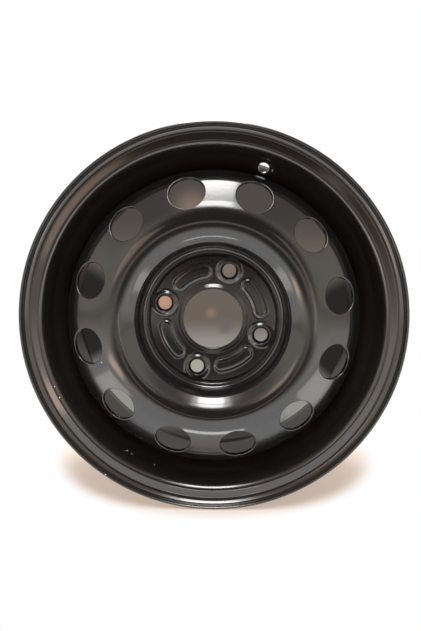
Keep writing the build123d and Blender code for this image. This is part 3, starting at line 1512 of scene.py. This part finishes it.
    def nut_sector(self, front: Contour, back: Contour) -> bpy.types.Mesh:
        """A quarter of the hub, with one nut seat and one curved field.

        Args:
            front: Outboard contour.
            back: Inboard contour.

        Returns:
            The sector's mesh.
        """
        shell = Shell()
        nut, raised = self.nut, self.raised
        angles = arc_between(self.first_nut_joint, self.first_nut_joint + 360 / self.nuts, self.step)
        shell.turn(self.bore_edge(), angles)
        rows, facing = nut.rows(self.pad, self.hub_face)
        shell.strip(rows, facing, closed=True)
        boss = [nut.ring(away) for away in nut.rings]
        flanks = [raised.ring(away) for away in raised.rings]
        hollow = [raised.ring(away - raised.inset) for away in raised.rings]
        hollow.append(nut.ring(nut.hollow + nut.back_ring))
        sides = [(self.hub_front(), front, self.collar_foot, rows[0], boss + flanks, 0.0, 1.0),
                 (self.hub_back(), back, self.hub_start, rows[-1], hollow, raised.inset, -1.0)]
        for surface, contour, inside, loop, rings, inset, sign in sides:
            bend = contour.line.places[1:contour.groove + 1, 0]
            radii = np.concatenate([np.linspace(inside, self.pad_rows_end, self.pad_rows),
                                    bend[bend > self.bend_rows_start]])
            border, grid = polar_patch(radii, angles)
            away = nut.from_axis(grid)
            clear = away > nut.clear
            if sign > 0:
                clear |= (np.hypot(*grid.T) > self.bend_start) & (away > nut.clear_at_bend)
            clear &= raised.beside(grid, inset)
            shell.patch(surface, sign, border, [loop[:, [0, 2]]], rings, grid[clear])
        return shell.mesh("nut_sector")

    def build(self) -> bpy.types.Object:
        """Make the disc from its two kinds of sector.

        Returns:
            The dressed piece.
        """
        front = Contour.split(self.front(self.turn), self.groove_split, self.band)
        back = Contour.split(self.behind(self.turn), self.back_split, self.band)
        tree = ring_tree()
        material = self.finish.material()
        skin = bmesh.new()
        for count, sector in ((self.vents, self.vent_sector(front, back)),
                              (self.nuts, self.nut_sector(front, back))):
            ring = tree.make(f"{self.name}_{count}", sector, material, {
                "Count": count, "Phase": VALVE_ANGLE, "Merge Distance": MERGE_MM * MM})
            skin.from_mesh(ring.data)
            bpy.data.objects.remove(ring)
        bmesh.ops.remove_doubles(skin, verts=skin.verts, dist=MERGE_MM * MM)
        mesh = bpy.data.meshes.new(self.name)
        skin.to_mesh(mesh)
        skin.free()
        mesh.materials.append(material)
        piece = in_scene(PREFIX + self.name, mesh)
        self.dress(piece)
        return piece


@dataclass
class WeldBead(Piece):
    """Fillet weld between the end of the skirt and the well."""

    angle: float = 0.0
    radius: float = 157.5
    end: float = -9.476
    length: float = 52.0
    end_gap: float = 0.1
    taper: float = 4.0
    tip_square: float = 0.01
    leg_well: float = 4.6
    leg_skirt: float = 3.3
    crown: float = 0.5
    ripple: float = 0.05
    pitch: float = 1.7
    steps: int = 160
    face_steps: int = 8

    def section(self) -> Section:
        """Draw the closed section of the bead about its heel.

        Returns:
            Its samples, as offsets away from the spin axis and along it.
        """
        toe = np.array([0.0, self.leg_well])
        top = np.array([-self.leg_skirt, 0.0])
        chord = top - toe
        out = -left_of(chord) / np.linalg.norm(chord)
        shares = np.linspace(0, 1, self.face_steps + 1)[:, None]
        face = toe + shares * chord + out * self.crown * 4 * shares * (1 - shares)
        slope = np.gradient(face, axis=0)
        facing = np.stack([slope[:, 1], -slope[:, 0]], axis=1)
        facing /= np.linalg.norm(facing, axis=1)[:, None]
        return Section(np.vstack([face, [(0.0, 0.0)]]), np.vstack([facing, [(0.7, -0.7)]]))

    def build(self) -> bpy.types.Object:
        """Make the bead, with its ripples and its tapered ends.

        Returns:
            The dressed piece.
        """
        half = self.length / 2 - self.end_gap
        along = np.linspace(-half, half, self.steps)
        to_tip = np.clip((np.abs(along) - half + self.taper) / self.taper, 0, 1)
        taper = np.sqrt(np.clip(1 - to_tip**2, self.tip_square, 1))
        scale = taper * (1 - self.ripple * (0.5 + 0.5 * np.cos(along / self.pitch * 2 * math.pi)))
        section = self.section()
        angles = along / self.radius
        radius = self.radius + section.places[:, :1] * scale
        axial = self.end + section.places[:, 1:] * scale
        points = turned(radius, axial, angles[None])
        slope = np.gradient(scale, along) * np.hypot(*section.places.T)[:, None]
        around = turned(1.0, 0.0, angles + math.pi / 2)[None]
        facing = turned(section.facing[:, :1], section.facing[:, 1:], angles[None])
        facing = facing - slope[..., None] * around
        facing /= np.linalg.norm(facing, axis=2)[:, :, None]
        shell = Shell()
        shell.strip(np.swapaxes(points, 0, 1), np.swapaxes(facing, 0, 1), closed=True)
        piece = ring_tree().make(self.name, shell.mesh(self.name), self.finish.material(), {
            "Count": 1, "Phase": self.angle, "Merge Distance": MERGE_MM * MM})
        self.dress(piece)
        return piece


@dataclass(frozen=True)
class Speck:
    """A white speck at a place on the wheel and with its radius, in metres: mostly where the paint is
    knocked off, and on the rim's flange two painted glints.
    """

    place: Triple
    size: float


@dataclass(frozen=True)
class Finish:
    """Semi-gloss black paint over steel."""

    slot: str
    color: Color = (0.0105, 0.0105, 0.0110, 1.0)
    ior: float = 2.0
    roughness: float = 0.13
    uneven: float = 0.06
    uneven_scale: float = 22.0
    uneven_detail: float = 5.0
    peel: float = 0.03
    peel_scale: float = 420.0
    peel_detail: float = 2.0
    peel_depth: float = 0.0004
    chips: tuple[Speck, ...] = ()
    chip_color: Color = (0.92, 0.90, 0.86, 1.0)
    chip_roughness: float = 0.6
    chip_core: float = 0.6

    def material(self) -> bpy.types.Material:
        """Mix the paint, once for each slot.

        Returns:
            The paint's material.
        """
        name = self.slot + "_gloss"
        known = bpy.data.materials.get(name)
        if known:
            return known
        material = bpy.data.materials.new(name)
        nodes = fresh_nodes(material)
        place = nodes.add("ShaderNodeTexCoord").out("Object")
        fine = nodes.add("ShaderNodeTexNoise", inputs={
            "Vector": place, "Scale": self.peel_scale, "Detail": self.peel_detail}).value("Fac")
        broad = nodes.add("ShaderNodeTexNoise", inputs={
            "Vector": place, "Scale": self.uneven_scale, "Detail": self.uneven_detail}).value("Fac")
        bump = nodes.add("ShaderNodeBump", inputs={
            "Strength": self.peel, "Distance": self.peel_depth, "Height": fine})
        rough = broad * self.uneven + (self.roughness - self.uneven / 2)
        color: Color | bpy.types.NodeSocket = self.color
        # White specks: chipped paint, and on the rim's outboard flange two painted glints.
        for speck in self.chips:
            away = nodes.vector("DISTANCE", place, speck.place).value("Value")
            ragged = away + (broad - 0.5) * speck.size
            share = ragged.ramp(speck.size, speck.size * self.chip_core)
            color = nodes.blend(share, color, self.chip_color)
            rough = rough.most(share * self.chip_roughness)
        shader = nodes.add("ShaderNodeBsdfPrincipled", inputs={
            "Base Color": color, "Roughness": rough, "IOR": self.ior, "Normal": bump})
        nodes.add("ShaderNodeOutputMaterial", inputs={"Surface": shader})
        return material


def looking(place: Triple, target: Triple) -> Euler:
    """Turn of a lamp or a camera that looks from a place at a target."""
    return (Vector(target) - Vector(place)).to_track_quat("-Z", "Y").to_euler()


class Aim(Enum):
    """Which way a lamp shines."""

    WHEEL = "at the wheel"
    DOWN = "straight down"
    UP = "straight up"


@dataclass(frozen=True)
class Lamp:
    """A soft rectangular lamp that the camera doesn't see."""

    name: str
    place: Triple
    size: tuple[float, float]
    radiance: float
    color: Triple = (1.0, 1.0, 1.0)
    aim: Aim = Aim.WHEEL

    def pair(self) -> tuple["Lamp", "Lamp"]:
        """This lamp on the left, and its mirror image on the right."""
        mirrored = (-self.place[0], *self.place[1:])
        return (replace(self, name=self.name + "_left"),
                replace(self, name=self.name + "_right", place=mirrored))

    def target(self) -> Triple:
        """Point that the lamp shines at."""
        height = {Aim.DOWN: 0.0, Aim.UP: 1.0}
        return (0.0, 0.0, 0.0) if self.aim is Aim.WHEEL else (*self.place[:2], height[self.aim])

    def build(self) -> None:
        """Hang the lamp."""
        light = bpy.data.lights.new(self.name, "AREA")
        light.shape = "RECTANGLE"
        light.size, light.size_y = self.size
        light.energy = self.radiance * math.pi * self.size[0] * self.size[1]
        light.color = self.color
        lamp = in_scene(self.name, light)
        lamp.location = self.place
        lamp.rotation_euler = looking(self.place, self.target())
        lamp.visible_camera = False


def stage_sheet(name: str, corners: list[Triple], material: bpy.types.Material, place: Triple) -> None:
    """Add a flat sheet that belongs to the studio and not to the wheel.

    Args:
        name: Name of the sheet.
        corners: Its corners, about its own origin.
        material: Its material.
        place: Where its origin goes.
    """
    mesh = bpy.data.meshes.new(name)
    mesh.from_pydata(corners, [], [tuple(range(len(corners)))])
    mesh.materials.append(material)
    sheet = in_scene(name, mesh)
    sheet.location = place


@dataclass(frozen=True)
class Glow:
    """A soft coloured spot of painted light on the backdrop behind the wheel, even out to its core radius.
    """

    across: float
    height: float
    radius: float
    color: Color
    core: float = 0.0


@dataclass(frozen=True)
class Backdrop:
    """Dim room seen through the holes, painted on a glowing disc just behind the rear opening, open from
    behind. The disc paints the room's light and shade, with the wheel's own shadow on the ground below.
    """

    place: float = 0.084
    radius: float = 0.190
    steps: int = 96
    wall: Color = (0.152, 0.125, 0.103, 1.0)
    upper: Color = (0.082, 0.071, 0.063, 1.0)
    # low is the wheel's shadow, painted on the ground below the shade line.
    low: Color = (0.055, 0.053, 0.048, 1.0)
    ground: Color = (0.300, 0.287, 0.258, 1.0)
    upper_line: tuple[float, float] = (0.06, 0.12)
    ground_line: tuple[float, float] = (-0.050, -0.012)
    shade_line: tuple[float, float] = (-0.172, -0.138)
    # Spots of painted room light. The two dark ones make the disc darker at both sides.
    glows: tuple[Glow, ...] = (
        Glow(-0.068, 0.010, 0.030, (0.52, 0.31, 0.22, 1.0)),
        Glow(-0.005, -0.006, 0.011, (0.27, 0.18, 0.13, 1.0)),
        Glow(0.014, -0.024, 0.016, (0.15, 0.135, 0.135, 1.0)),
        Glow(-0.023, -0.082, 0.038, (0.40, 0.38, 0.325, 1.0), 0.012),
        Glow(0.015, 0.055, 0.035, (0.21, 0.165, 0.135, 1.0)),
        Glow(-0.030, 0.132, 0.034, (0.23, 0.165, 0.14, 1.0)),
        Glow(-0.190, -0.008, 0.085, (0.022, 0.021, 0.020, 1.0), 0.055),
        Glow(0.195, -0.032, 0.092, (0.022, 0.021, 0.020, 1.0), 0.064),
    )

    def material(self) -> bpy.types.Material:
        """Paint the room's light and shade, which glows towards the front only.

        Returns:
            The backdrop's material.
        """
        material = bpy.data.materials.new("backdrop")
        nodes = fresh_nodes(material)
        spot = nodes.add("ShaderNodeTexCoord").out("Object")
        height = nodes.add("ShaderNodeSeparateXYZ", inputs={0: spot}).value("Z")
        wall = nodes.blend(height.ramp(*self.upper_line), self.wall, self.upper)
        ground = nodes.blend(height.ramp(*self.shade_line), self.low, self.ground)
        color = nodes.blend(height.ramp(*self.ground_line), ground, wall)
        for glow in self.glows:
            away = nodes.vector("DISTANCE", spot, (glow.across, 0.0, glow.height)).value("Value")
            color = nodes.blend(away.ramp(glow.radius, glow.core), color, glow.color)
        light = nodes.add("ShaderNodeEmission", inputs={"Color": color})
        clear = nodes.add("ShaderNodeBsdfTransparent")
        behind = nodes.add("ShaderNodeNewGeometry").out("Backfacing")
        both = nodes.add("ShaderNodeMixShader", inputs={0: behind, 1: light, 2: clear})
        nodes.add("ShaderNodeOutputMaterial", inputs={"Surface": both})
        return material

    def build(self) -> None:
        """Hang the disc, facing the camera's side."""
        rim = [(self.radius * math.cos(a), 0.0, self.radius * math.sin(a)) for a in full_turn(self.steps)]
        stage_sheet("backdrop", rim, self.material(), (0.0, self.place, 0.0))


@dataclass(frozen=True)
class Oval:
    """Soft-edged oval on the floor: how a place is scaled and shifted to give its way out from it."""

    scale: Triple
    shift: Triple
    edge: tuple[float, float]

    def share(self, nodes: Nodes, place: bpy.types.NodeSocket) -> Value:
        """Share that goes from 0 at the edge's first value to 1 at its second."""
        way = nodes.vector("MULTIPLY_ADD", place, self.scale, self.shift)
        return nodes.vector("LENGTH", way).value("Value").ramp(*self.edge)


@dataclass(frozen=True)
class Studio:
    """Pale floor, white surroundings, lamps and camera."""

    floor: float = -0.1949
    floor_reach: float = 6.0
    floor_color: Color = (0.84, 0.81, 0.78, 1.0)
    floor_shade: Color = (0.06, 0.05, 0.045, 1.0)
    shade_patch: Oval = Oval((1.0, 0.6, 0.0), (0.0, 0.66, 0.0), (0.55, 0.25))
    shadow: Oval = Oval((4.91, 5.4, 0.0), (0.0, -0.486, 0.0), (0.92, 1.06))
    # Painted warm glow, mixed at this share into the floor's shadow inside the shadow oval.
    shadow_light: Color = (1.0, 0.80, 0.67, 1.0)
    shadow_share: float = 0.46
    wall: Color = (0.77, 0.71, 0.63, 1.0)
    ceiling: Color = (0.36, 0.31, 0.27, 1.0)
    ceiling_line: tuple[float, float] = (0.30, 0.75)
    halo: Color = (1.15, 1.08, 1.00, 1.0)
    halo_line: tuple[float, float] = (0.84, 0.96)
    shade: Color = (0.05, 0.04, 0.035, 1.0)
    shade_way: Triple = (0.03, -0.966, 0.256)
    shade_cone: tuple[float, float] = (0.85, 0.975)
    white_way: tuple[float, float] = (0.80, 0.97)
    white_floor: tuple[float, float] = (-0.50, -0.25)
    eye: Triple = (0.00831, -0.5627, 0.05495)
    aim: Triple = (-0.00195, -0.082, 0.0071)
    lens: float = 27.735
    sensor: float = 36.0
    near_clip: float = 0.01
    lamps: tuple[Lamp, ...] = (
        Lamp("top_lamp", (0.0, 0.147, 1.30), (0.46, 1.555), 10.0, aim=Aim.DOWN),
        Lamp("front_lamp", (0.0, -0.962, 1.30), (0.46, 0.525), 8.0, aim=Aim.DOWN),
        Lamp("front_card", (0.0, -1.3325, 1.30), (0.46, 0.215), 3.0, aim=Aim.DOWN),
        *Lamp("top_wing", (-0.29, 0.147, 1.30), (0.12, 1.555), 2.2, aim=Aim.DOWN).pair(),
        *Lamp("front_wing", (-0.30, -1.04, 1.30), (0.14, 0.68), 2.4, aim=Aim.DOWN).pair(),
        Lamp("warm_card", (-0.38, -0.98, 0.22), (0.26, 0.28), 1.05, (1.0, 0.70, 0.55)),
        Lamp("warm_low_card", (-0.32, -0.50, -0.19), (0.16, 0.24), 2.1, (1.0, 0.66, 0.48), Aim.UP),
        Lamp("warm_card_right", (0.32, -1.05, 0.08), (0.08, 0.48), 0.9, (1.0, 0.74, 0.62)),
        Lamp("floor_card", (0.0, -0.130, -0.19), (0.10, 0.022), 3.2, aim=Aim.UP),
        *Lamp("low_card", (-0.265, -0.155, -0.19), (0.15, 0.20), 1.15, (1.0, 0.95, 0.85), Aim.UP).pair(),
    )
    backdrop: Backdrop = Backdrop()

    def white_rays(self, nodes: Nodes, back: Value) -> Value:
        """Share the white background out to the rays that see it.

        Args:
            nodes: Tree of the world or the floor.
            back: Share of white for mirror and see-through rays.

        Returns:
            Share of white: all of it for camera rays.
        """
        path = nodes.add("ShaderNodeLightPath")
        others = path.value("Is Glossy Ray").most(path.value("Is Transmission Ray")) * back
        return path.value("Is Camera Ray").most(others)

    def build_world(self) -> None:
        """White surroundings, with a dim room in front of the wheel that the camera doesn't see."""
        world = bpy.data.worlds.new("studio")
        bpy.context.scene.world = world
        nodes = fresh_nodes(world)
        way = nodes.add("ShaderNodeTexCoord").out("Generated")
        parts = nodes.add("ShaderNodeSeparateXYZ", inputs={0: way})
        height = parts.value("Z")
        room = nodes.blend(height.ramp(*self.ceiling_line), self.wall, self.ceiling)
        room = nodes.blend(height.ramp(*self.halo_line), room, self.halo)
        near = nodes.vector("DOT_PRODUCT", way, self.shade_way).value("Value")
        room = nodes.blend(near.ramp(*self.shade_cone), room, self.shade)
        back = parts.value("Y").ramp(*self.white_way)
        color = nodes.blend(self.white_rays(nodes, back), room, WHITE)
        light = nodes.add("ShaderNodeBackground", inputs={"Color": color})
        nodes.add("ShaderNodeOutputWorld", inputs={"Surface": light})

    def build_floor(self) -> None:
        """Pale floor that keeps the wheel's shadow and goes over into white. Inside an oval round the wheel,
        a painted warm glow pales that shadow and ends it at the oval's edge. A patch of painted shade
        darkens the floor in front, where the camera sees white.
        """
        material = bpy.data.materials.new("floor")
        nodes = fresh_nodes(material)
        place = nodes.add("ShaderNodeTexCoord").out("Object")
        color = nodes.blend(self.shade_patch.share(nodes, place), self.floor_color, self.floor_shade)
        pale = nodes.add("ShaderNodeBsdfDiffuse", inputs={"Color": color})
        outside = self.shadow.share(nodes, place)
        # Painted warm glow inside the shadow oval and white outside it. It pales the wheel's shadow and ends
        # it at the oval's edge.
        white = nodes.add("ShaderNodeEmission", inputs={
            "Color": nodes.blend(outside, self.shadow_light, WHITE)})
        back = nodes.add("ShaderNodeSeparateXYZ", inputs={0: place}).value("Y").ramp(*self.white_floor)
        share = (outside * (1 - self.shadow_share) + self.shadow_share) * self.white_rays(nodes, back)
        both = nodes.add("ShaderNodeMixShader", inputs={0: share, 1: pale, 2: white})
        nodes.add("ShaderNodeOutputMaterial", inputs={"Surface": both})
        far = self.floor_reach
        stage_sheet("floor", [(-far, -far, 0.0), (far, -far, 0.0), (far, far, 0.0), (-far, far, 0.0)],
                    material, (0.0, 0.0, self.floor))

    def build_camera(self) -> None:
        """Camera at the photograph's viewpoint."""
        camera = bpy.data.cameras.new("camera")
        camera.lens = self.lens
        camera.sensor_width = self.sensor
        camera.clip_start = self.near_clip
        view = in_scene("camera", camera)
        view.location = self.eye
        view.rotation_euler = looking(self.eye, self.aim)
        bpy.context.scene.camera = view

    def build(self) -> None:
        """Set up the studio."""
        self.build_world()
        self.build_floor()
        self.build_camera()
        self.backdrop.build()
        for lamp in self.lamps:
            lamp.build()


RIM_BLACK: Color = (0.022, 0.018, 0.016, 1.0)
RIM_CHIPS_AND_GLINTS = (
    Speck((-0.0960, -0.0487, -0.1453), 0.0009),
    Speck((-0.0943, -0.0460, -0.1463), 0.0010),
    Speck((-0.0897, -0.0468, -0.1494), 0.0009),
    Speck((-0.0885, -0.0476, -0.1502), 0.0009),
    Speck((-0.0645, -0.0466, -0.1618), 0.0008),
    Speck((-0.1103, -0.0823, -0.1580), 0.0008),
    # The last two specks are painted glints on the outboard flange, not chipped paint.
    Speck((-0.1640, -0.0718, -0.0683), 0.0007),
    Speck((-0.1591, -0.0719, -0.0799), 0.0007),
)
DISC_CHIPS = (
    Speck((-0.1133, -0.0762, -0.0419), 0.0008),
)


def main() -> None:
    """Build the wheel and its studio."""
    logging.basicConfig(level=logging.INFO, format="%(message)s")
    bpy.context.scene.view_settings.view_transform = "Standard"
    RimBarrel("rim_barrel", Finish("rim_paint", color=RIM_BLACK, chips=RIM_CHIPS_AND_GLINTS)).build()
    WheelDisc("wheel_disc", Finish("disc_paint", chips=DISC_CHIPS)).build()
    for number in range(WELDS):
        angle = VALVE_ANGLE + math.radians((number + 0.5) * 360 / WELDS)
        WeldBead(f"weld_bead_{number + 1}", Finish("weld_paint"), angle).build()
    Studio().build()


if __name__ == "__main__":
    main()
